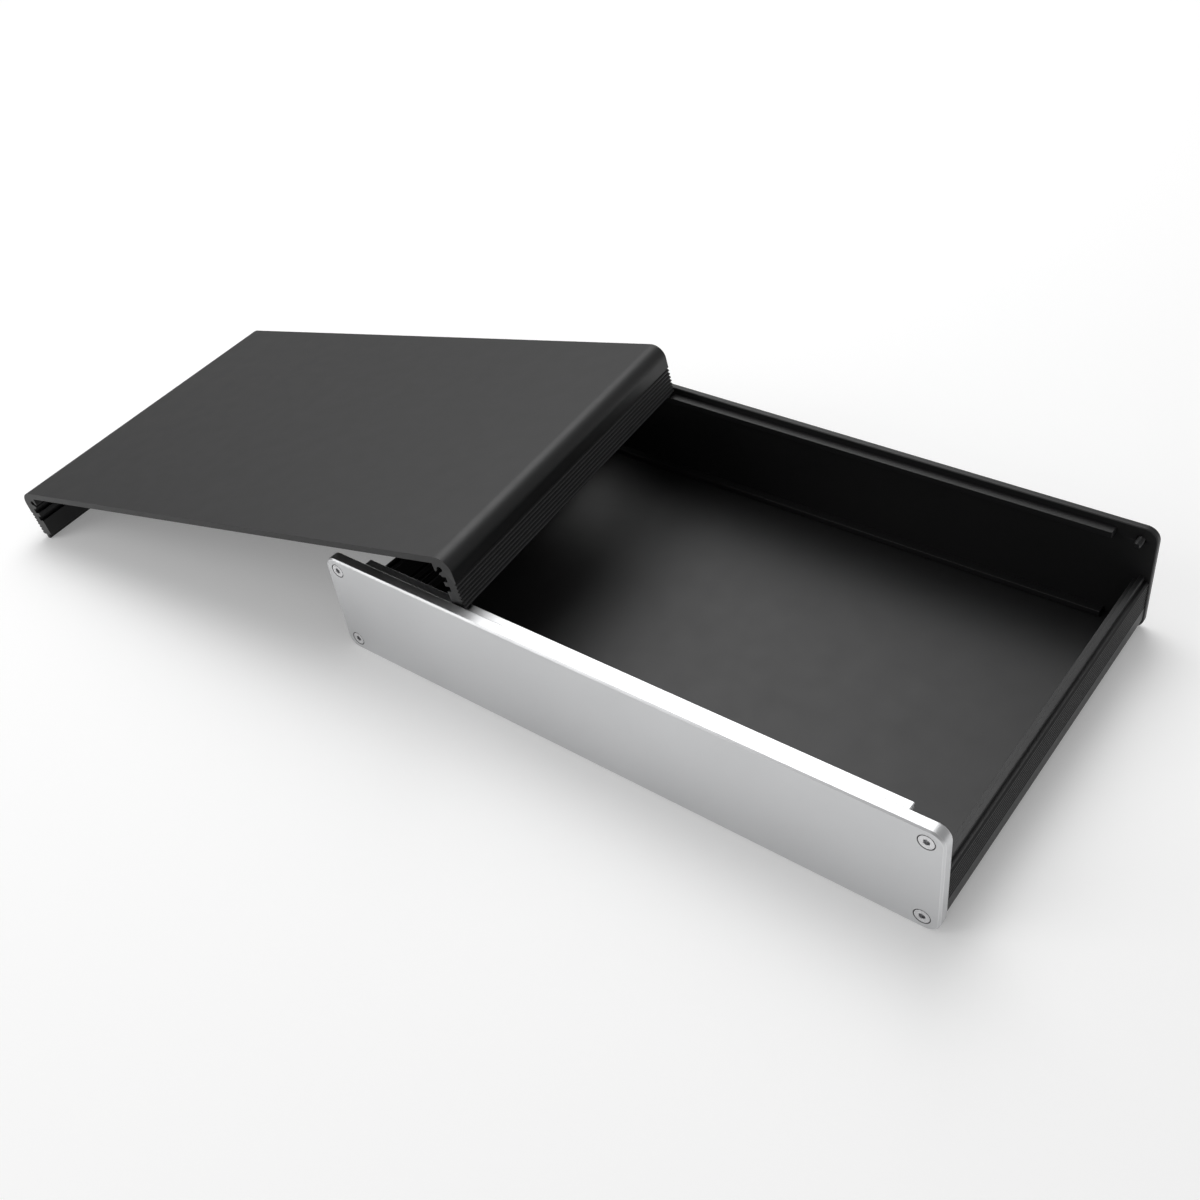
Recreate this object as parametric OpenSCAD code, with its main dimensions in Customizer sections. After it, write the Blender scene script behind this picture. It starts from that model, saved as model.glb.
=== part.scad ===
// Amplifier chassis: two turned-over copies of one extruded half shell between
// a silver front panel and a black rear panel, held by countersunk screws.
// The upper shell is off and leans on the tray: one wall lies on the locating
// ledges of the panels, the tongue of the other wall stands on the table.
// Millimetres. The origin is the centre of the lower shell's underside, +Z is up
// and the front panel looks along -Y.

/* [Chassis] */
// Width of the front and rear panels
panel_w = 227; // [140:1:400]
// Height of the panels, which is the height of the closed chassis
panel_h = 40; // [36:1:70]
// Length of the half shells, from panel to panel
shell_l = 136; // [90:0.5:300]

/* [Panels] */
// Thickness of the front panel without its ledges
front_t = 4.2; // [3:0.1:5]
// Thickness of the rear panel without its ledges
rear_t = 2.7; // [2.5:0.1:4]
// Radius of the corners of a panel
panel_r = 4.5; // [2:0.1:8]
// Chamfer round the outer face of a panel
panel_edge = 0.6; // [0.2:0.1:1.5]
// Chamfer round the inner face of a panel
inner_edge = 0.3; // [0.1:0.1:0.6]
// How far a panel stands proud of the shells at each side
panel_proud = 0.5; // [0:0.1:1.5]
// Depth of the front panel's ledges, which locate the plates of the shells
front_ledge_d = 4.6; // [2:0.1:8]
// Depth of the rear panel's ledges
rear_ledge_d = 3.3; // [2:0.1:6]
// Height of a ledge
ledge_t = 2.1; // [1.5:0.1:4]
// Distance from the side of a panel to the end of a ledge
ledge_end = 13.1; // [9:0.1:30]
// Clearance between a ledge and the plate of a shell
ledge_gap = 0.15; // [0.05:0.05:0.5]

/* [Half shell extrusion] */
// Thickness of the broad plate
plate_t = 2.5; // [2:0.1:4]
// Thickness of the side walls
wall_t = 5; // [4:0.1:8]
// Radius of the outer corner between plate and wall
shell_r = 5.5; // [2:0.1:8]
// Number of fine ridges along a wall, next to the joint
ridge_count = 7; // [2:1:8]
// Distance from ridge to ridge
ridge_pitch = 1.42; // [0.8:0.01:1.6]
// Depth of the grooves between the ridges
ridge_d = 0.7; // [0.2:0.05:0.8]
// Width of a flat ridge top
ridge_top = 0.3; // [0.1:0.01:0.6]

/* [Board slots] */
// Number of circuit board slots in a wall
slot_count = 2; // [1:1:2]
// Distance from the outer face of the plate to the first slot
slot_start = 7.5; // [7:0.1:9]
// Width of a slot
slot_w = 2; // [1.2:0.1:2.5]
// Depth of a slot
slot_d = 1.7; // [1:0.1:2]
// Width of the land between two slots
slot_land = 1.7; // [1:0.1:2]

/* [Wall joint] */
// Width of the outer shoulder beside the tongue and of the outer lip beside the groove
joint_lip = 1.65; // [1:0.05:2]
// Width of the groove
groove_w = 1.7; // [1.2:0.1:2]
// Depth of the groove
groove_d = 2.1; // [1.5:0.1:3]
// Height of the tongue
tongue_h = 1.9; // [1:0.1:2]
// Clearance at each side of the tongue
tongue_gap = 0.1; // [0.05:0.05:0.2]

/* [Screws] */
// Distance from a screw's axis to the side of the panel
screw_side = 5.3; // [5:0.1:7]
// Distance from a screw's axis to the top or bottom of the panel
screw_edge = 4.7; // [4.5:0.1:6]
// Length of a front screw over its head
front_screw_l = 7; // [6.5:0.5:16]
// Length of a rear screw over its head
rear_screw_l = 6; // [5.5:0.5:16]
// Diameter of the head
head_d = 4.7; // [4:0.1:5.2]
// Height of the straight rim of the head
head_rim = 0.2; // [0.1:0.05:0.3]
// Clearance under the head, along the axis
head_gap = 0.05; // [0.02:0.01:0.1]
// Size of the hexagon socket across its flats
socket_af = 1.8; // [1.3:0.1:2.2]
// Depth of the hexagon socket
socket_d = 1; // [0.7:0.1:1.2]
// Diameter of the countersink at the panel's outer face
sink_d = 5.3; // [5.1:0.1:7]
// Diameter of the hole through the panel
hole_d = 2.9; // [2.6:0.1:3.5]
// Diameter of the screw channel's bore
channel_d = 2.1; // [1.8:0.1:2.5]
// Thickness of the lip round the bore
channel_wall = 1.2; // [0.7:0.1:1.5]
// Width of the slit along the channel
channel_slit = 1.3; // [0.8:0.1:1.6]
// Clearance between the screw's core and the bore
thread_gap = 0.05; // [0.02:0.01:0.1]

/* [Cover at rest] */
// Distance from the left end of the panels to the wall that lies on the ledges
rest_in = 48; // [30:1:80]
// Turn of the cover beyond the least that lets its wall drop between the panels, in degrees
turn_extra = 2.2; // [1:0.1:4]
// Gap between that wall and the ledges
rest_gap = 0.1; // [0.05:0.05:0.3]

/* [Hidden] */
$fn = 48;
cut = 1;
black = [0.11, 0.11, 0.12];
silver = [0.78, 0.78, 0.79];
steel = [0.62, 0.62, 0.64];
dark_steel = [0.14, 0.14, 0.15];

// Shell sizes that follow from the panels
shell_w = panel_w - 2 * panel_proud;
shell_h = panel_h / 2;
inner_w = shell_w - 2 * wall_t;

// Screw channel, seen from the middle of the plate's width and from the joint
channel_x = shell_w / 2 - screw_side + panel_proud;
channel_y = shell_h - screw_edge;
channel_r = channel_d / 2 + channel_wall;

// Locating ledges
ledge_w = panel_w - 2 * ledge_end;
ledge_top = panel_h - plate_t - ledge_gap;

// Screw and countersink
core_d = channel_d - 2 * thread_gap;
sink_h = (sink_d - hole_d) / 2;
head_inset = (sink_d - head_d) / 2 - head_rim - head_gap;
head_cone = (head_d - core_d) / 2;

// Cover at rest: the span from the tongue's outer corner to the foot on the ledges
// gives the tilt, and the wall's own thickness gives the least turn
rest_span = shell_w - wall_t - joint_lip - tongue_gap;
rest_z = ledge_top + rest_gap;
cover_tilt = asin(rest_z / norm([rest_span, tongue_h])) - atan(tongue_h / rest_span);
cover_turn = 2 * atan(wall_t / shell_l) + turn_extra;
rest_x = rest_in - panel_w / 2;
rest_y = -wall_t * sin(cover_turn) / 2;

// The same shape on the right and, mirrored, on the left
module both_sides() {
    children();
    mirror([1, 0, 0]) children();
}

// Waste outside a round corner whose centre is the origin
module corner_waste(r) {
    difference() {
        square(r + cut);
        circle(r = r);
    }
}

// Outline of the half shell with its plate up and the joint on the X axis
module shell_outline() {
    difference() {
        translate([-shell_w / 2, 0]) square([shell_w, shell_h]);
        translate([-inner_w / 2, -cut]) square([inner_w, shell_h - plate_t + cut]);
        both_sides() translate([shell_w / 2 - shell_r, shell_h - shell_r]) corner_waste(shell_r);
    }
}

// Lip of the screw channel, hanging from the plate with a round inner corner
module channel_lip() {
    difference() {
        translate([channel_x - channel_r, channel_y - channel_r])
            square([2 * channel_r, channel_r + screw_edge - plate_t / 2]);
        translate([channel_x, channel_y]) rotate(180) corner_waste(channel_r);
    }
}

// Bore of the screw channel and the slit that opens it towards the inside
module channel_bore() {
    translate([channel_x, channel_y]) circle(d = channel_d);
    translate([channel_x, channel_y]) rotate(225) translate([0, -channel_slit / 2])
        square([channel_r + cut, channel_slit]);
}

// Slots for the edges of circuit boards
module board_slots() {
    for (i = [0 : slot_count - 1])
        translate([inner_w / 2 - cut, shell_h - slot_start - slot_w - i * (slot_w + slot_land)])
            square([slot_d + cut, slot_w]);
}

// Grooves that leave the fine ridges on the outside of a wall
module ridge_grooves() {
    half_mouth = (ridge_pitch - ridge_top) / 2;
    for (i = [0 : ridge_count])
        translate([shell_w / 2, i * ridge_pitch])
            polygon([
                [-ridge_d, 0], [0, half_mouth], [cut, half_mouth], [cut, -half_mouth], [0, -half_mouth]
            ]);
}

// Groove in the foot of the right wall
module joint_groove() {
    translate([shell_w / 2 - joint_lip - groove_w, -cut]) square([groove_w, groove_d + cut]);
}

// Tongue on the foot of the left wall
module joint_tongue() {
    translate([joint_lip + tongue_gap - shell_w / 2, -tongue_h])
        square([groove_w - 2 * tongue_gap, tongue_h + wall_t / 2]);
}

// Section that both shells are cut from
module shell_section() {
    difference() {
        union() {
            shell_outline();
            both_sides() channel_lip();
            joint_tongue();
        }
        both_sides() {
            channel_bore();
            board_slots();
            ridge_grooves();
        }
        joint_groove();
    }
}

// One length of the extrusion along Y, plate up, with its joint at the height of the origin
module half_shell() {
    rotate([90, 0, 0]) linear_extrude(height = shell_l, center = true) shell_section();
}

// Edge of a panel of thickness t at the distance x, from its inner to its outer face
function slab_edge(x, t) = [
    [x - inner_edge, 0], [x, inner_edge], [x, t - panel_edge], [x - panel_edge, t]
];

// Section across the middle of a panel, chamfered at both faces
module slab_section(x, t) {
    edge = slab_edge(x, t);
    polygon(concat(edge, [for (i = [3 : -1 : 0]) [-edge[i][0], edge[i][1]]]));
}

// Panel plate with round corners, outer face up
module panel_slab(t) {
    rotate([90, 0, 90]) linear_extrude(height = panel_w - 2 * panel_r, center = true)
        slab_section(panel_h / 2, t);
    rotate([90, 0, 0]) linear_extrude(height = panel_h - 2 * panel_r, center = true)
        slab_section(panel_w / 2, t);
    for (x = [-1, 1], y = [-1, 1])
        translate([x * (panel_w / 2 - panel_r), y * (panel_h / 2 - panel_r), 0])
            rotate_extrude() polygon(concat([[0, 0]], slab_edge(panel_r, t), [[0, t]]));
}

// Ledge that lies inside the plate of a shell, of depth d below the panel
module panel_ledge(d) {
    translate([-ledge_w / 2, ledge_top - panel_h / 2 - ledge_t, -d])
        cube([ledge_w, ledge_t, d + inner_edge]);
}

// Countersunk hole, with its mouth at the outer face of a panel of thickness t
module screw_hole(t) {
    translate([0, 0, -cut]) cylinder(d = hole_d, h = t + cut);
    translate([0, 0, t - sink_h]) cylinder(d1 = hole_d, d2 = sink_d + 2 * cut, h = sink_h + cut);
}

// Panel of thickness t with ledges of depth d below and its outer face up
module panel(t, d) {
    difference() {
        union() {
            panel_slab(t);
            panel_ledge(d);
            mirror([0, 1, 0]) panel_ledge(d);
        }
        for (x = [-1, 1], y = [-1, 1])
            translate([x * (panel_w / 2 - screw_side), y * (panel_h / 2 - screw_edge), 0]) screw_hole(t);
    }
}

// Countersunk socket screw of length l, head up at the height of the origin
module screw(l) {
    difference() {
        rotate_extrude()
            polygon([
                [0, 0], [head_d / 2, 0], [head_d / 2, -head_rim], [core_d / 2, -head_rim - head_cone],
                [core_d / 2, -l], [0, -l]
            ]);
        translate([0, 0, -socket_d]) cylinder(d = socket_af / cos(30), h = socket_d + cut, $fn = 6);
    }
}

// Place on a panel's outer face: y for its face, side and level -1 or 1
module screw_place(y, side, level) {
    translate([side * (panel_w / 2 - screw_side), y, panel_h / 2 + level * (panel_h / 2 - screw_edge)])
        children();
}

module front_screw(side, level) {
    color(steel) screw_place(head_inset - front_t - shell_l / 2, side, level)
        rotate([90, 0, 0]) screw(front_screw_l);
}

module rear_screw(side, level) {
    color(dark_steel) screw_place(shell_l / 2 + rear_t - head_inset, side, level)
        rotate([-90, 0, 0]) screw(rear_screw_l);
}

module top_cover() {
    color(black) translate([rest_x, rest_y, rest_z]) rotate([0, -cover_tilt, cover_turn])
        translate([-inner_w / 2, 0, 0]) half_shell();
}

module bottom_shell() {
    color(black) translate([0, 0, shell_h]) rotate([0, 180, 0]) half_shell();
}

module front_panel() {
    color(silver) translate([0, -shell_l / 2, panel_h / 2]) rotate([90, 0, 0])
        panel(front_t, front_ledge_d);
}

module rear_panel() {
    color(black) translate([0, shell_l / 2, panel_h / 2]) rotate([-90, 0, 0])
        panel(rear_t, rear_ledge_d);
}

top_cover();
bottom_shell();
front_panel();
rear_panel();
front_screw(-1, 1);  // front_screw_upper_left
front_screw(1, 1);  // front_screw_upper_right
front_screw(-1, -1);  // front_screw_lower_left
front_screw(1, -1);  // front_screw_lower_right
rear_screw(-1, 1);  // rear_screw_upper_left
rear_screw(1, 1);  // rear_screw_upper_right
rear_screw(-1, -1);  // rear_screw_lower_left
rear_screw(1, -1);  // rear_screw_lower_right
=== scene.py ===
import math

import bmesh
import bpy
import numpy as np
from mathutils import Matrix
from mathutils.geometry import delaunay_2d_cdt


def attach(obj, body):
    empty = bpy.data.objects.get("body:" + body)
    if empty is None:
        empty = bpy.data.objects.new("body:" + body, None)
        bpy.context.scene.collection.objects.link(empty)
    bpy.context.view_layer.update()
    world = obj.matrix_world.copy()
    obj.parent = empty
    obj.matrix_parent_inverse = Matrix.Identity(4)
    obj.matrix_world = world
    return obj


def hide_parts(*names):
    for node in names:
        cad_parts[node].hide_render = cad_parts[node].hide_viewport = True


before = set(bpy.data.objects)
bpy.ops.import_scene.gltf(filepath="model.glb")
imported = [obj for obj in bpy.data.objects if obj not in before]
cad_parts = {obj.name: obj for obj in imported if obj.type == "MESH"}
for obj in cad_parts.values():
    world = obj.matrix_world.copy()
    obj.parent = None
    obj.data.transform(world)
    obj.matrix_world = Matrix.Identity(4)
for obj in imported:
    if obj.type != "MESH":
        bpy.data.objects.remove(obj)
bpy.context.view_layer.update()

mm = 0.001
scene = bpy.context.scene
scene.view_settings.view_transform = "Standard"
print("frame loaded:", len(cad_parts), "nodes")


# finishes
def addNode(tree, kind, inputs=None, **settings):
    node = tree.nodes.new(kind)
    for key, value in settings.items():
        setattr(node, key, value)
    for key, value in (inputs or {}).items():
        if isinstance(value, bpy.types.NodeSocket):
            tree.links.new(value, node.inputs[key])
        else:
            node.inputs[key].default_value = value
    return node


def newFinish(name):
    finish = bpy.data.materials.new(name)
    finish.use_nodes = True
    tree = finish.node_tree
    tree.nodes.clear()
    shader = addNode(tree, "ShaderNodeBsdfPrincipled")
    addNode(tree, "ShaderNodeOutputMaterial", {"Surface": shader.outputs["BSDF"]})
    return finish, tree, shader


noises = {
    "low": 0.3, "high": 0.7,                 # nearly all values of a noise lie between these
    "cloudDetail": 3.0, "fineDetail": 2.0,
}


# a cloudy noise, spread out between two values
def noiseBetween(tree, vector, scale, low, high, v=noises):
    noise = addNode(tree, "ShaderNodeTexNoise",
                    {"Vector": vector, "Scale": scale, "Detail": v["cloudDetail"]})
    spread = addNode(tree, "ShaderNodeMapRange",
                     {"Value": noise.outputs["Fac"], "From Min": v["low"], "From Max": v["high"],
                      "To Min": low, "To Max": high})
    return spread.outputs["Result"]


# a fine noise as a bump of the given height, laid over another bump where there is one
def fineBump(tree, vector, scale, height, under=None, v=noises):
    noise = addNode(tree, "ShaderNodeTexNoise",
                    {"Vector": vector, "Scale": scale, "Detail": v["fineDetail"]})
    inputs = {"Height": noise.outputs["Fac"], "Distance": height, "Strength": 1.0}
    if under is not None:
        inputs["Normal"] = under
    return addNode(tree, "ShaderNodeBump", inputs).outputs["Normal"]


def mixTones(tree, factor, first, second):
    mix = addNode(tree, "ShaderNodeMix", {"Factor": factor, "A": first, "B": second}, data_type="RGBA")
    return mix.outputs["Result"]


# above zero on edges, lighter there for worn dye and as a painted highlight; below zero in gaps and sockets,
# for painted shade
def edgeMark(tree):
    return addNode(tree, "ShaderNodeAttribute", attribute_name="edge").outputs["Fac"]


# where the edge mark is below zero, a tone gives way to a dark one: painted shade
def darkBelowZero(tree, edge, tone, dark):
    below = addNode(tree, "ShaderNodeMath", {0: edge, 1: -1.0}, operation="MULTIPLY")
    return mixTones(tree, below.outputs["Value"], tone, dark)


blackFinish = {
    "dark": (0.0046, 0.0046, 0.0050, 1), "pale": (0.0056, 0.0056, 0.0060, 1),   # faintly cloudy dye
    "edge": (0.030, 0.030, 0.031, 1),                      # thin dye on sharp edges, and a painted highlight there
    "roughness": (0.45, 0.485), "ior": 1.5, "cloudScale": 38, "sheenScale": 114,
    "grainScale": 5200, "grainHeight": 0.000006,
    "lineStretch": (2600, 5, 1), "lineHeight": 0.000003,   # die lines along the extrusion
}


def blackAnodised(v=blackFinish):
    finish, tree, shader = newFinish("blackAnodised")
    uv = addNode(tree, "ShaderNodeUVMap", uv_map="UVMap").outputs["UV"]
    dye = mixTones(tree, noiseBetween(tree, uv, v["cloudScale"], 0, 1), v["dark"], v["pale"])
    # sharp edges lighter: thin dye, and a painted highlight
    tree.links.new(mixTones(tree, edgeMark(tree), dye, v["edge"]), shader.inputs["Base Color"])
    tree.links.new(noiseBetween(tree, uv, v["sheenScale"], *v["roughness"]), shader.inputs["Roughness"])
    stretched = addNode(tree, "ShaderNodeMapping", {"Vector": uv, "Scale": v["lineStretch"]})
    lines = fineBump(tree, stretched.outputs["Vector"], 1.0, v["lineHeight"])
    tree.links.new(fineBump(tree, uv, v["grainScale"], v["grainHeight"], lines), shader.inputs["Normal"])
    shader.inputs["IOR"].default_value = v["ior"]
    return finish


silverFinish = {
    # edge: lighter worn bevels with a painted highlight; gap: painted shade beside the screw heads
    "dark": (0.63, 0.635, 0.643, 1), "pale": (0.66, 0.665, 0.673, 1), "edge": (0.78, 0.78, 0.79, 1),
    "gap": (0.035, 0.035, 0.036, 1), "metallic": 1.0,
    "roughness": (0.36, 0.43), "cloudScale": 26, "sheenScale": 104,
    "grainScale": 4600, "grainHeight": 0.000007,
}


def silverAnodised(v=silverFinish):
    finish, tree, shader = newFinish("silverAnodised")
    place = addNode(tree, "ShaderNodeTexCoord").outputs["Object"]
    edge = edgeMark(tree)
    tone = mixTones(tree, noiseBetween(tree, place, v["cloudScale"], 0, 1), v["dark"], v["pale"])
    # bevels lighter: wear and a painted highlight
    wornAndHighlit = mixTones(tree, edge, tone, v["edge"])
    # painted shade in the gap beside each screw head
    tree.links.new(darkBelowZero(tree, edge, wornAndHighlit, v["gap"]), shader.inputs["Base Color"])
    tree.links.new(noiseBetween(tree, place, v["sheenScale"], *v["roughness"]), shader.inputs["Roughness"])
    tree.links.new(fineBump(tree, place, v["grainScale"], v["grainHeight"]), shader.inputs["Normal"])
    shader.inputs["Metallic"].default_value = v["metallic"]
    return finish


# pit: the tone of painted shade in the socket
brightScrew = {
    "dark": (0.66, 0.66, 0.67, 1), "pale": (0.77, 0.77, 0.78, 1), "paintedSocketShade": (0.52, 0.52, 0.53, 1),
    "metallic": 1.0, "roughness": (0.22, 0.34), "cloudScale": 900, "sheenScale": 1800,
    "grainScale": 9000, "grainHeight": 0.000004,
}
darkScrew = {
    "dark": (0.010, 0.010, 0.011, 1), "pale": (0.016, 0.016, 0.017, 1), "paintedSocketShade": (0.006, 0.006, 0.006, 1),
    "metallic": 0.0, "roughness": (0.26, 0.38), "cloudScale": 900, "sheenScale": 1800,
    "grainScale": 9000, "grainHeight": 0.000004,
}


def screwFinish(name, v):
    finish, tree, shader = newFinish(name)
    place = addNode(tree, "ShaderNodeTexCoord").outputs["Object"]
    tone = mixTones(tree, noiseBetween(tree, place, v["cloudScale"], 0, 1), v["dark"], v["pale"])
    paintedSocketShade = darkBelowZero(tree, edgeMark(tree), tone, v["paintedSocketShade"])   # painted shade in the socket
    tree.links.new(paintedSocketShade, shader.inputs["Base Color"])
    tree.links.new(noiseBetween(tree, place, v["sheenScale"], *v["roughness"]), shader.inputs["Roughness"])
    tree.links.new(fineBump(tree, place, v["grainScale"], v["grainHeight"]), shader.inputs["Normal"])
    shader.inputs["Metallic"].default_value = v["metallic"]
    return finish


finishes = {
    "black_anodised": blackAnodised(),
    "silver_anodised": silverAnodised(),
    "screw_steel": screwFinish("screwSteel", brightScrew),
    "screw_black": screwFinish("screwBlack", darkScrew),
}
print("finishes made:", ", ".join(finishes))


# mesh helpers
meshing = {
    "mergeWithin": 1e-7, "sharpDegrees": 40,
    "softMid": 0.3,                          # a softened edge's middle ring, in shares of its radius
    "mostReach": 0.45,                       # how far a softening may go, in shares of the shorter side
    "insideOnly": 2, "meetWithin": 1e-6,     # triangles inside an outline and outside its holes
}


# quads of a grid of rows by columns of points, whose columns close on themselves
def ringQuads(rows, columns):
    row = np.arange(rows - 1)[:, None] * columns
    here = np.arange(columns)[None, :]
    after = (here + 1) % columns
    quads = np.stack([row + here, row + columns + here, row + columns + after, row + after], axis=-1)
    return quads.reshape(-1, 4)


# the angles of one full turn, without its last
def fullTurn(count):
    return np.linspace(0, 2 * math.pi, count, endpoint=False)


# every corner becomes a quadratic arc between the points its radius back along both sides; radius 0 keeps
# it sharp; only corners that stand out get the lighter edge mark, wear and a painted highlight, most in the
# middle of the arc
def softenOutline(points, radii, steps):
    back = np.roll(points, 1, axis=0) - points
    ahead = np.roll(points, -1, axis=0) - points
    backLength = np.linalg.norm(back, axis=1)
    aheadLength = np.linalg.norm(ahead, axis=1)
    reach = np.minimum(radii, meshing["mostReach"] * np.minimum(backLength, aheadLength))
    start = points + back * (reach / backLength)[:, None]
    end = points + ahead * (reach / aheadLength)[:, None]
    t = np.linspace(0, 1, steps)[None, :, None]
    curve = (1 - t) ** 2 * start[:, None] + 2 * t * (1 - t) * points[:, None] + t ** 2 * end[:, None]
    keep = (radii > 0)[:, None] | (np.arange(steps) == 0)[None, :]
    bend = ahead[:, 0] * back[:, 1] - ahead[:, 1] * back[:, 0]
    standsOut = (bend * bend[np.argmax(points[:, 0])] > 0) & (radii > 0)
    wornAndHighlit = np.where(standsOut[:, None], (4 * t * (1 - t))[..., 0], 0.0)
    return curve[keep], wornAndHighlit[keep]


def makePiece(name, points, faces, node, slotName, edge, uv=None):
    mesh = bpy.data.meshes.new(name)
    mesh.from_pydata(points.tolist(), [], faces)
    layer = mesh.uv_layers.new(name="UVMap")
    if uv is None:   # flattened along Y, with a slant so that the rims get a grain too
        corner = np.empty(len(mesh.loops), np.int32)
        mesh.loops.foreach_get("vertex_index", corner)
        flat = points[corner]
        uv = np.stack([flat[:, 0] + flat[:, 1], flat[:, 2] + flat[:, 1]], axis=-1)
    layer.data.foreach_set("uv", np.ascontiguousarray(uv, np.float32).ravel())
    # edge mark: lighter edges for wear and a painted highlight, painted shade below zero
    wearAndPaintedLight = mesh.attributes.new("edge", "FLOAT", "POINT")
    wearAndPaintedLight.data.foreach_set("value", np.ascontiguousarray(edge, np.float32))
    bm = bmesh.new()
    bm.from_mesh(mesh)
    bmesh.ops.remove_doubles(bm, verts=bm.verts, dist=meshing["mergeWithin"])
    bm.to_mesh(mesh)
    bm.free()
    mesh.shade_smooth()
    mesh.set_sharp_from_angle(angle=math.radians(meshing["sharpDegrees"]))
    piece = bpy.data.objects.new(name, mesh)
    scene.collection.objects.link(piece)
    flats = piece.modifiers.new("keepFlats", "WEIGHTED_NORMAL")
    flats.keep_sharp = True
    mesh.materials.append(finishes[slotName])
    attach(piece, "root")
    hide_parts(node)


# half shell: one extruded section, used for the tray and for the cover, in millimetres
shell = {
    "width": 226, "height": 20, "length": 136, "plate": 2.5, "wall": 5, "corner": 5.5,
    "ridges": 7, "ridgePitch": 1.42, "ridgeDepth": 0.7, "ridgeTop": 0.3,
    "slots": 2, "slotStart": 7.5, "slotWidth": 2, "slotDepth": 1.7, "slotLand": 1.7,
    "lip": 1.65, "grooveWidth": 1.7, "grooveDepth": 2.1, "tongueHeight": 1.9, "tongueGap": 0.1,
    "channelIn": 4.8, "channelDown": 4.7, "bore": 1.05, "channelRound": 2.25,
    "slit": 0.65, "slitTurn": 225,                      # half its width, and the way it opens in degrees
    "soft": 0.18, "softRidge": 0.13, "cutEdge": 0.05,   # radii of the drawn edges, bevel of the sawn ends
    "cornerSteps": 28, "boreSteps": 26, "lipSteps": 3, "edgeSteps": 4,
}


# points along a circle between two angles in degrees
def arc(centre, radius, start, end, count):
    angle = np.radians(np.linspace(start, end, count))
    return np.stack([centre[0] + radius * np.cos(angle), centre[1] + radius * np.sin(angle)], axis=-1)


# right half of the section, from the middle of the plate's inner face round the wall to the middle of its
# outer face; each stretch is (points, radius of its edges)
def sectionHalf(v, foot):
    half, inner = v["width"] / 2, v["width"] / 2 - v["wall"]
    soft, ridge = v["soft"], v["softRidge"]
    mid = (half - v["channelIn"], v["height"] - v["channelDown"])
    lipEdge = mid[0] - v["channelRound"]
    slitOut = math.degrees(math.asin(v["slit"] / v["channelRound"]))
    slitIn = math.degrees(math.asin(v["slit"] / v["bore"]))
    before, beyond = v["slitTurn"] - slitOut, v["slitTurn"] + slitOut
    boreEnds = v["slitTurn"] - slitIn, v["slitTurn"] - 360 + slitIn
    wallMeet = 180 + math.degrees(math.acos((mid[0] - inner) / v["channelRound"]))
    lip = [
        ([[lipEdge, v["height"] - v["plate"]]], soft),
        (arc(mid, v["channelRound"], 180, before, v["lipSteps"])[:-1], 0),
        (arc(mid, v["channelRound"], before, before, 1), soft),
        (arc(mid, v["bore"], *boreEnds, v["boreSteps"]), 0),
        (arc(mid, v["channelRound"], beyond, beyond, 1), soft),
        (arc(mid, v["channelRound"], beyond, wallMeet, v["lipSteps"])[1:], 0),
    ]
    first = v["height"] - v["slotStart"]
    tops = first - np.arange(v["slots"]) * (v["slotWidth"] + v["slotLand"])
    slotX = np.array([inner, inner + v["slotDepth"], inner + v["slotDepth"], inner])
    slotZ = tops[:, None] - np.array([0, 0, v["slotWidth"], v["slotWidth"]])
    slotPoints = np.stack([np.broadcast_to(slotX, slotZ.shape), slotZ], axis=-1).reshape(-1, 2)
    valleys = np.arange(v["ridges"] + 1) * v["ridgePitch"]
    mouth = (v["ridgePitch"] - v["ridgeTop"]) / 2
    grooveX = np.broadcast_to([half, half - v["ridgeDepth"], half], (len(valleys), 3))
    grooveZ = valleys[:, None] + np.array([-mouth, 0, mouth])
    ridgePoints = np.stack([grooveX, grooveZ], axis=-1).reshape(-1, 2)[1:]   # the foot cuts the first valley
    corner = arc((half - v["corner"], v["height"] - v["corner"]), v["corner"], 0, 90, v["cornerSteps"])
    wall = [(slotPoints, soft), ([[inner, 0]], soft), (foot, soft), (ridgePoints, ridge), (corner, 0)]
    stretches = lip + wall
    points = np.concatenate([np.asarray(p, float) for p, r in stretches])
    radii = np.concatenate([np.full(len(p), float(r)) for p, r in stretches])
    return points, radii


# both halves in one closed outline, with the groove in the right foot and the tongue on the left one
def shellOutline(v):
    half = v["width"] / 2
    grooveIn, grooveOut = half - v["lip"] - v["grooveWidth"], half - v["lip"]
    groove = np.array([[grooveIn, 0], [grooveIn, v["grooveDepth"]], [grooveOut, v["grooveDepth"]],
                       [grooveOut, 0]])
    tongueIn, tongueOut = grooveIn + v["tongueGap"], grooveOut - v["tongueGap"]
    tongue = np.array([[tongueIn, 0], [tongueIn, -v["tongueHeight"]], [tongueOut, -v["tongueHeight"]],
                       [tongueOut, 0]])
    right, rightRadii = sectionHalf(v, groove)
    left, leftRadii = sectionHalf(v, tongue)
    points = np.concatenate([right, left[::-1] * [-1, 1]])
    return softenOutline(points, np.concatenate([rightRadii, leftRadii[::-1]]), v["edgeSteps"])


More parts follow.
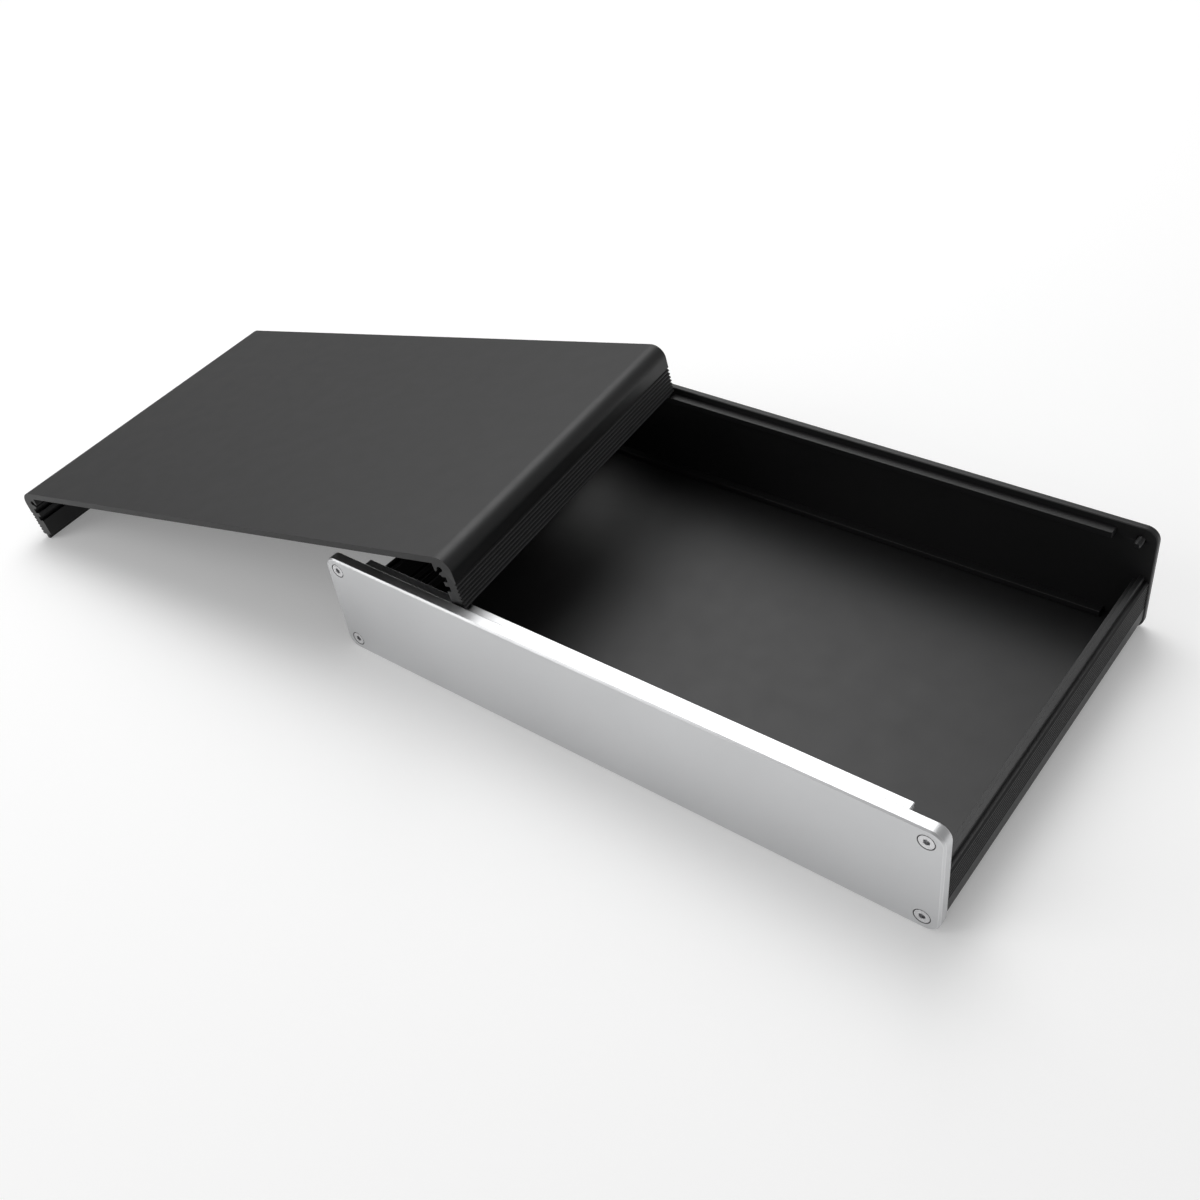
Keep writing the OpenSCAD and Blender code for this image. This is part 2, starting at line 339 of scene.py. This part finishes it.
# the outline carried along Y; at both ends it steps in along its own normals for the bevel of the saw cut
def shellSurface(v):
    outline, wornAndHighlit = shellOutline(v)
    along = np.roll(outline, -1, axis=0) - np.roll(outline, 1, axis=0)
    inward = np.stack([-along[:, 1], along[:, 0]], axis=-1) / np.linalg.norm(along, axis=1)[:, None]
    far = v["length"] / 2
    step = np.array([0, meshing["softMid"], 1]) * v["cutEdge"]
    station = np.concatenate([step - far, far - step[::-1]])
    inset = np.concatenate([step[::-1], step])
    ring = outline[None] + inset[:, None, None] * inward[None]
    rows, count = len(station), len(outline)
    points = np.stack([ring[..., 0], np.broadcast_to(station[:, None], (rows, count)), ring[..., 1]], axis=-1)
    sideLength = np.linalg.norm(np.roll(outline, -1, axis=0) - outline, axis=1)
    distance = np.concatenate([[0], np.cumsum(sideLength)])
    u = np.broadcast_to(distance[:-1], (rows - 1, count))
    uNext = np.broadcast_to(distance[1:], (rows - 1, count))
    low = np.broadcast_to(station[:-1, None], (rows - 1, count))
    high = np.broadcast_to(station[1:, None], (rows - 1, count))
    sideUv = np.stack([np.stack([u, low], -1), np.stack([u, high], -1),
                       np.stack([uNext, high], -1), np.stack([uNext, low], -1)], axis=2).reshape(-1, 2)
    capUv = np.concatenate([ring[0], ring[-1][::-1]])
    caps = [list(range(count)), list(range(rows * count - 1, (rows - 1) * count - 1, -1))]
    faces = ringQuads(rows, count).tolist() + caps
    wearAndPaintedLight = np.broadcast_to(wornAndHighlit, (rows, count)).copy()
    wearAndPaintedLight[[1, -2]] = 1   # the middle of each bevel, lighter: wear and a painted highlight
    return points.reshape(-1, 3), faces, np.concatenate([sideUv, capUv]) * mm, wearAndPaintedLight.ravel()


# the tray is the section turned over about Y, with its joint at half height
trayTurn = Matrix.Translation((0, 0, shell["height"])) @ Matrix.Rotation(math.pi, 4, "Y")

coverRest = {
    "wallAt": 48, "panelWidth": 227, "ledgeTop": 37.35, "gap": 0.1,   # the wall that lies on the ledges
    "turnBeyond": 2.2,   # degrees past the least turn that lets it drop in
}


# the tilt puts the tongue's outer corner on the table, the turn lets the wall lie between the panels
def coverPlace(v, s):
    span = s["width"] - s["wall"] - s["lip"] - s["tongueGap"]
    height = v["ledgeTop"] + v["gap"]
    tilt = math.asin(height / math.hypot(span, s["tongueHeight"])) - math.atan(s["tongueHeight"] / span)
    turn = 2 * math.atan(s["wall"] / s["length"]) + math.radians(v["turnBeyond"])
    rest = (v["wallAt"] - v["panelWidth"] / 2, -s["wall"] * math.sin(turn) / 2, height)
    return (Matrix.Translation(rest) @ Matrix.Rotation(turn, 4, "Z") @ Matrix.Rotation(-tilt, 4, "Y")
            @ Matrix.Translation((s["wall"] - s["width"] / 2, 0, 0)))


def placed(points, matrix):
    turn = np.array(matrix.to_3x3())
    return (points @ turn.T + np.array(matrix.translation)) * mm


shellPoints, shellFaces, shellUv, shellWearAndHighlight = shellSurface(shell)
makePiece("trayShell", placed(shellPoints, trayTurn), shellFaces, "bottom_shell", "black_anodised",
          shellWearAndHighlight, shellUv)
makePiece("coverShell", placed(shellPoints, coverPlace(coverRest, shell)), shellFaces, "top_cover",
          "black_anodised", shellWearAndHighlight, shellUv)
print("shells made:", len(shellPoints), "points each")


# panels, in millimetres
panel = {
    "width": 227, "height": 40, "corner": 4.5, "outerBevel": 0.6, "innerBevel": 0.3,
    # edgeWearAndHighlight: how light the bevels' corners are, wear and a painted highlight
    "soft": 0.12, "rimFlat": 0.36, "edgeWearAndHighlight": 0.9,
    "ledgeEnd": 13.1, "ledgeHeight": 2.1, "ledgeTop": 17.35, "ledgeCorner": 0.25, "ledgeSoft": 0.2,
    "ledgeBend": (0, 0.06, 0.25, 0.6, 1),         # how a ledge's round end draws in, in shares of its radius
    "screwSide": 5.3, "screwEdge": 4.7, "sink": 2.65, "hole": 1.45, "holeSoft": 0.1,
    "holeShadeByRing": (0, -0.6, -1, -1, -1, 0, 0, 0),   # ring by ring, below zero for painted shade in the gap beside a screw head
    "leastCorner": 0.02, "cornerSteps": 14, "bendSteps": 4, "ledgeSteps": 5, "holeSteps": 56,
}
frontPlate = {"thickness": 4.2, "ledge": 4.6}
rearPlate = {"thickness": 2.7, "ledge": 3.3}
screwX = panel["width"] / 2 - panel["screwSide"]
screwZ = panel["height"] / 2 - panel["screwEdge"]


# rectangle with round corners, anticlockwise from the right-hand side
def roundRect(width, height, radius, steps):
    angle = np.radians(np.linspace(0, 90, steps)[None, :] + np.arange(4)[:, None] * 90)
    cx = (width / 2 - radius) * np.array([1, -1, -1, 1])[:, None]
    cy = (height / 2 - radius) * np.array([1, 1, -1, -1])[:, None]
    return np.stack([cx + radius * np.cos(angle), cy + radius * np.sin(angle)], axis=-1).reshape(-1, 2)


# a rim is the round rectangle drawn in by inset[k] at depth[k], one ring for each k
def rimRings(width, height, radius, steps, inset, depth):
    rings = [roundRect(width - 2 * i, height - 2 * i, max(radius - i, panel["leastCorner"]), steps)
             for i in inset]
    return np.stack([np.column_stack([ring, np.full(len(ring), d)]) for ring, d in zip(rings, depth)])


# a hole is a circle of radius[k] at depth[k], one ring for each k
def holeRings(centre, radius, depth, steps):
    turn = fullTurn(steps)
    circle = np.stack([np.cos(turn), np.sin(turn)], axis=-1)
    flat = np.asarray(centre) + np.asarray(radius)[:, None, None] * circle[None]
    level = np.broadcast_to(np.asarray(depth)[:, None, None], flat.shape[:2] + (1,))
    return np.concatenate([flat, level], axis=-1)


# flat face between an outer ring and the rings of its holes, as triangles
def flatFace(outer, holes, depth):
    rings = [outer] + holes
    starts = np.cumsum([0] + [len(r) for r in rings])
    loops = [list(range(a, b)) for a, b in zip(starts[:-1], starts[1:])]
    flat = np.concatenate(rings)[:, :2]
    cut = delaunay_2d_cdt([tuple(p) for p in flat.tolist()], [], loops,
                          meshing["insideOnly"], meshing["meetWithin"])
    spots = np.array([tuple(p) for p in cut[0]])
    return np.column_stack([spots, np.full(len(spots), depth)]), np.array(cut[2])


# profile of a bevelled edge with its two corners softened, as (inset, depth) rows, and their edge mark, wear
# and a painted highlight
def bevelSteps(bevel, v):
    reach = bevel + v["rimFlat"]
    corners = np.array([[reach, 0], [bevel, 0], [0, bevel], [0, reach]])
    profile, wornAndHighlit = softenOutline(corners, v["soft"] * np.array([0, 1, 1, 0]), v["bendSteps"])
    return profile[:-1], v["edgeWearAndHighlight"] * (wornAndHighlit[:-1] > 0)


# outer face at depth 0, inner face at the thickness, ledges beyond it
def panelSurface(v, plate):
    thick = plate["thickness"]
    outer, outerWearAndHighlight = bevelSteps(v["outerBevel"], v)
    inner, innerWearAndHighlight = bevelSteps(v["innerBevel"], v)
    inset = np.concatenate([outer[:, 0], inner[::-1, 0]])
    depth = np.concatenate([outer[:, 1], thick - inner[::-1, 1]])
    rim = rimRings(v["width"], v["height"], v["corner"], v["cornerSteps"], inset, depth)
    rimWearAndHighlight = np.concatenate([outerWearAndHighlight, innerWearAndHighlight[::-1]])
    sink, hole, soft = v["sink"], v["hole"], v["holeSoft"]
    softMid = meshing["softMid"] * soft
    slope = sink - hole
    holeRadius = [sink + soft, sink - softMid, sink - soft, hole, hole, hole, hole + softMid, hole + soft]
    holeDepth = [0, softMid, soft, slope, slope + soft, thick - soft, thick - softMid, thick]
    holes = [holeRings((x * screwX, z * screwZ), holeRadius, holeDepth, v["holeSteps"])
             for x in (-1, 1) for z in (-1, 1)]
    bend = np.array(v["ledgeBend"]) * v["ledgeSoft"]
    ledgeInset = np.concatenate([[0], bend])
    ledgeDepth = thick + np.concatenate([[0], plate["ledge"] - bend[::-1]])
    ledge = rimRings(v["width"] - 2 * v["ledgeEnd"], v["ledgeHeight"], v["ledgeCorner"], v["ledgeSteps"],
                     ledgeInset, ledgeDepth)
    lift = v["ledgeTop"] - v["ledgeHeight"] / 2
    ledges = [ledge + [0, lift, 0], ledge - [0, lift, 0]]
    points, faces, wearAndPaintedLight, start = [], [], [], 0

    def add(newPoints, newFaces, newWearAndPaintedLight=0.0):
        nonlocal start
        points.append(newPoints)
        faces.extend((np.asarray(newFaces) + start).tolist())
        wearAndPaintedLight.append(np.broadcast_to(newWearAndPaintedLight, len(newPoints)))
        start += len(newPoints)

    add(rim.reshape(-1, 3), ringQuads(*rim.shape[:2]), np.repeat(rimWearAndHighlight, rim.shape[1]))
    # painted shade in each hole's gap beside the screw head
    paintedHoleShade = np.repeat(v["holeShadeByRing"], v["holeSteps"])
    for rings in holes:
        add(rings.reshape(-1, 3), ringQuads(*rings.shape[:2])[:, ::-1], paintedHoleShade)
    for rings in ledges:
        add(rings.reshape(-1, 3), ringQuads(*rings.shape[:2]))
        add(rings[-1], [list(range(rings.shape[1]))[::-1]])
    add(*flatFace(rim[0], [rings[0] for rings in holes], 0))
    innerHoles = [rings[-1] for rings in holes] + [rings[0] for rings in ledges]
    innerSpots, innerFaces = flatFace(rim[-1], innerHoles, thick)
    add(innerSpots, innerFaces[:, ::-1])
    return np.concatenate(points), faces, np.concatenate(wearAndPaintedLight)


# from a panel's own width, height and depth to its place; facing is -1 at the front and 1 at the rear
def facePlace(points, outerY, facing, x=0.0, z=panel["height"] / 2):
    across, upward, inward = points.T
    return np.stack([x - facing * across, outerY - facing * inward, z + upward], axis=-1) * mm


def panelPiece(name, node, slotName, plate, facing):
    points, faces, wearAndPaintedLight = panelSurface(panel, plate)
    outerY = facing * (shell["length"] / 2 + plate["thickness"])
    makePiece(name, facePlace(points, outerY, facing), faces, node, slotName, wearAndPaintedLight)


panelPiece("frontPlate", "front_panel", "silver_anodised", frontPlate, -1)
panelPiece("rearPlate", "rear_panel", "black_anodised", rearPlate, 1)
print("panels made")


# screws, in millimetres
screw = {
    "head": 2.35, "rim": 0.2, "rimFlat": 0.18, "soft": 0.06, "inset": 0.05,
    "socket": 0.9, "socketDepth": 1.0, "socketBevel": 0.12, "socketRings": 4,
    "footShare": 0.98, "footRise": 0.05, "drillPoint": 0.35,           # the socket's floor
    "core": 1.0, "crest": 1.22, "pitch": 0.45, "neckStep": 0.05, "runOut": 0.6,
    "toothHalf": 0.375, "toothFlank": 0.25,                            # in shares of the pitch
    "tip": 0.45, "taper": 0.25, "pole": 0.02, "turnSteps": 48, "stepsPerPitch": 8,
}


# rings from the socket's floor over the head to the threaded tip: radius and depth are functions of the ring
# and of the angle; the socket's radius follows a hexagon, the thread's follows depth/pitch minus angle/turn
def screwSurface(v, length):
    turn = fullTurn(v["turnSteps"])
    hexagon = v["socket"] / np.cos((turn + math.pi / 6) % (math.pi / 3) - math.pi / 6)
    ones = np.ones_like(turn)
    neck = v["rim"] + v["head"] - v["core"]
    softMid = meshing["softMid"] * v["soft"]
    top = [
        (v["pole"] * ones, v["socketDepth"] + v["drillPoint"]),
        (hexagon * v["footShare"], v["socketDepth"]),
        (hexagon, v["socketDepth"] - v["footRise"]),
        (hexagon, v["socketBevel"]),
        (hexagon + v["socketBevel"], 0.0),
        ((v["head"] - v["rimFlat"]) * ones, 0.0),
        ((v["head"] - v["soft"]) * ones, 0.0),
        ((v["head"] - softMid) * ones, softMid),
        (v["head"] * ones, v["soft"]),
        (v["head"] * ones, v["rim"]),
        (v["core"] * ones, neck),
    ]
    count = int((length - neck) / v["pitch"] * v["stepsPerPitch"])
    depth = np.linspace(neck + v["neckStep"], length, count)
    phase = (depth[:, None] / v["pitch"] - turn[None] / (2 * math.pi)) % 1
    tooth = np.clip((v["toothHalf"] - np.abs(phase - 0.5)) / v["toothFlank"], 0, 1)
    nearTip = np.clip(1 - (length - depth) / v["tip"], 0, 1)
    fade = np.clip((depth - neck) / v["runOut"], 0, 1) * (1 - nearTip)
    thread = v["core"] + (v["crest"] - v["core"]) * tooth * fade[:, None]
    shank = thread - v["taper"] * nearTip[:, None]
    radius = np.concatenate([np.stack([r for r, z in top]), shank, v["pole"] * ones[None]])
    depths = np.concatenate([np.array([z for r, z in top]), depth, [length]])
    x, y = radius * np.cos(turn), radius * np.sin(turn)
    points = np.stack([x, y, np.broadcast_to(depths[:, None], x.shape)], axis=-1)
    rows, columns = x.shape
    ends = [list(range(columns)), list(range(rows * columns - 1, (rows - 1) * columns - 1, -1))]
    # painted shade on the socket's rings
    wearAndPaintedLight = np.where(np.arange(rows) < v["socketRings"], -1.0, 0.0)
    return points.reshape(-1, 3), ringQuads(rows, columns).tolist() + ends, np.repeat(wearAndPaintedLight, columns)


screwSets = {   # length, way the face looks, plate, finish
    "front": (7.0, -1, frontPlate, "screw_steel"),
    "rear": (6.0, 1, rearPlate, "screw_black"),
}
for faceName, (length, facing, plate, slotName) in screwSets.items():
    points, faces, wearAndPaintedLight = screwSurface(screw, length)
    outerY = facing * (shell["length"] / 2 + plate["thickness"] - screw["inset"])
    for level, z in (("upper", screwZ), ("lower", -screwZ)):
        for side, x in (("left", -screwX), ("right", screwX)):
            name = faceName + level.title() + side.title() + "Screw"
            node = faceName + "_screw_" + level + "_" + side
            spot = facePlace(points, outerY, facing, x, panel["height"] / 2 + z)
            makePiece(name, spot, faces, node, slotName, wearAndPaintedLight)
print("screws made")


# stage: floor, sky, lamps, camera, in metres
stageSetup = {
    "floorColour": (0.85, 0.85, 0.85, 1), "floorGlow": 0.2, "floorSize": 60.0, "floorDrop": 0.00002,
    "skyColour": (1, 1, 1, 1), "skyLight": 0.34,
}
floorCorners = np.array([[-1, -1], [1, -1], [1, 1], [-1, 1]]) * stageSetup["floorSize"] / 2
floorPoints = np.column_stack([floorCorners, np.full(4, -stageSetup["floorDrop"])])
floorMesh = bpy.data.meshes.new("floor")
floorMesh.from_pydata(floorPoints.tolist(), [], [(0, 1, 2, 3)])
floor = bpy.data.objects.new("floor", floorMesh)
scene.collection.objects.link(floor)


# 1 where the ray comes straight from the camera or off gloss or glass
def seenRay(tree):
    path = addNode(tree, "ShaderNodeLightPath")
    straight, gloss, glass = (path.outputs["Is " + k + " Ray"] for k in ("Camera", "Glossy", "Transmission"))
    either = addNode(tree, "ShaderNodeMath", {0: straight, 1: gloss}, operation="MAXIMUM").outputs["Value"]
    return addNode(tree, "ShaderNodeMath", {0: either, 1: glass}, operation="MAXIMUM").outputs["Value"]


paper = bpy.data.materials.new("palePaper")
paper.use_nodes = True
paperTree = paper.node_tree
paperTree.nodes.clear()
matt = addNode(paperTree, "ShaderNodeBsdfDiffuse", {"Color": stageSetup["floorColour"]})
glowLevel = addNode(paperTree, "ShaderNodeMath", {0: seenRay(paperTree), 1: stageSetup["floorGlow"]},
                    operation="MULTIPLY")
glow = addNode(paperTree, "ShaderNodeEmission", {"Strength": glowLevel.outputs["Value"]})
both = addNode(paperTree, "ShaderNodeAddShader", {0: matt.outputs["BSDF"], 1: glow.outputs["Emission"]})
addNode(paperTree, "ShaderNodeOutputMaterial", {"Surface": both.outputs["Shader"]})
floorMesh.materials.append(paper)

sky = bpy.data.worlds.new("studioSky")
sky.use_nodes = True
scene.world = sky
skyTree = sky.node_tree
skyTree.nodes.clear()
light = addNode(skyTree, "ShaderNodeBackground",
                {"Color": stageSetup["skyColour"], "Strength": stageSetup["skyLight"]})
addNode(skyTree, "ShaderNodeOutputWorld", {"Surface": light.outputs["Background"]})

lamps = {   # place, aim, side lengths, brightness of the sheet itself
    "backLeft": {"place": (-0.67, 0.54, 1.04), "aim": (-0.08, 0, 0.02), "size": (1.2, 1.1), "bright": 1.67},
    "overhead": {"place": (-0.40, 0.42, 1.35), "aim": (-0.05, 0, 0), "size": (1.1, 1.1), "bright": 1.75},
    "frontLeft": {"place": (-0.77, -0.83, 0.74), "aim": (-0.05, -0.05, 0.02), "size": (0.6, 0.6),
                  "bright": 2.2},
}


# a lamp shines down its own -Z
def aimed(place, aim):
    away = np.subtract(place, aim) / np.linalg.norm(np.subtract(place, aim))
    side = np.cross((0, 0, 1), away)
    side = side / np.linalg.norm(side)
    axes = np.column_stack([side, np.cross(away, side), away])
    return Matrix.Translation(place) @ Matrix(axes.tolist()).to_4x4()


for name, v in lamps.items():
    lamp = bpy.data.lights.new(name, "AREA")
    lamp.shape = "RECTANGLE"
    lamp.size, lamp.size_y = v["size"]
    lamp.energy = v["bright"] * math.pi * v["size"][0] * v["size"][1]
    holder = bpy.data.objects.new(name, lamp)
    holder.matrix_world = aimed(v["place"], v["aim"])
    scene.collection.objects.link(holder)

shot = {
    "place": (0.2019, -0.2756, 0.3090), "azimuth": 43.40, "elevation": 40.09, "roll": -8.77,
    "focal": 1348, "frame": 1200,   # in pixels
    "sensor": 36, "near": 0.01,     # in millimetres, in metres
}
camera = bpy.data.cameras.new("camera")
camera.sensor_fit = "HORIZONTAL"
camera.sensor_width = shot["sensor"]
camera.lens = shot["sensor"] * shot["focal"] / shot["frame"]
camera.clip_start = shot["near"]
az, el, roll = (math.radians(shot[k]) for k in ("azimuth", "elevation", "roll"))
back = np.array([math.sin(az) * math.cos(el), -math.cos(az) * math.cos(el), math.sin(el)])
level = np.array([math.cos(az), math.sin(az), 0])
upright = np.cross(back, level)
right = math.cos(roll) * level + math.sin(roll) * upright
up = math.cos(roll) * upright - math.sin(roll) * level
axes = np.column_stack([right, up, back])
viewer = bpy.data.objects.new("camera", camera)
viewer.matrix_world = Matrix.Translation(shot["place"]) @ Matrix(axes.tolist()).to_4x4()
scene.collection.objects.link(viewer)
scene.camera = viewer
print("stage set")
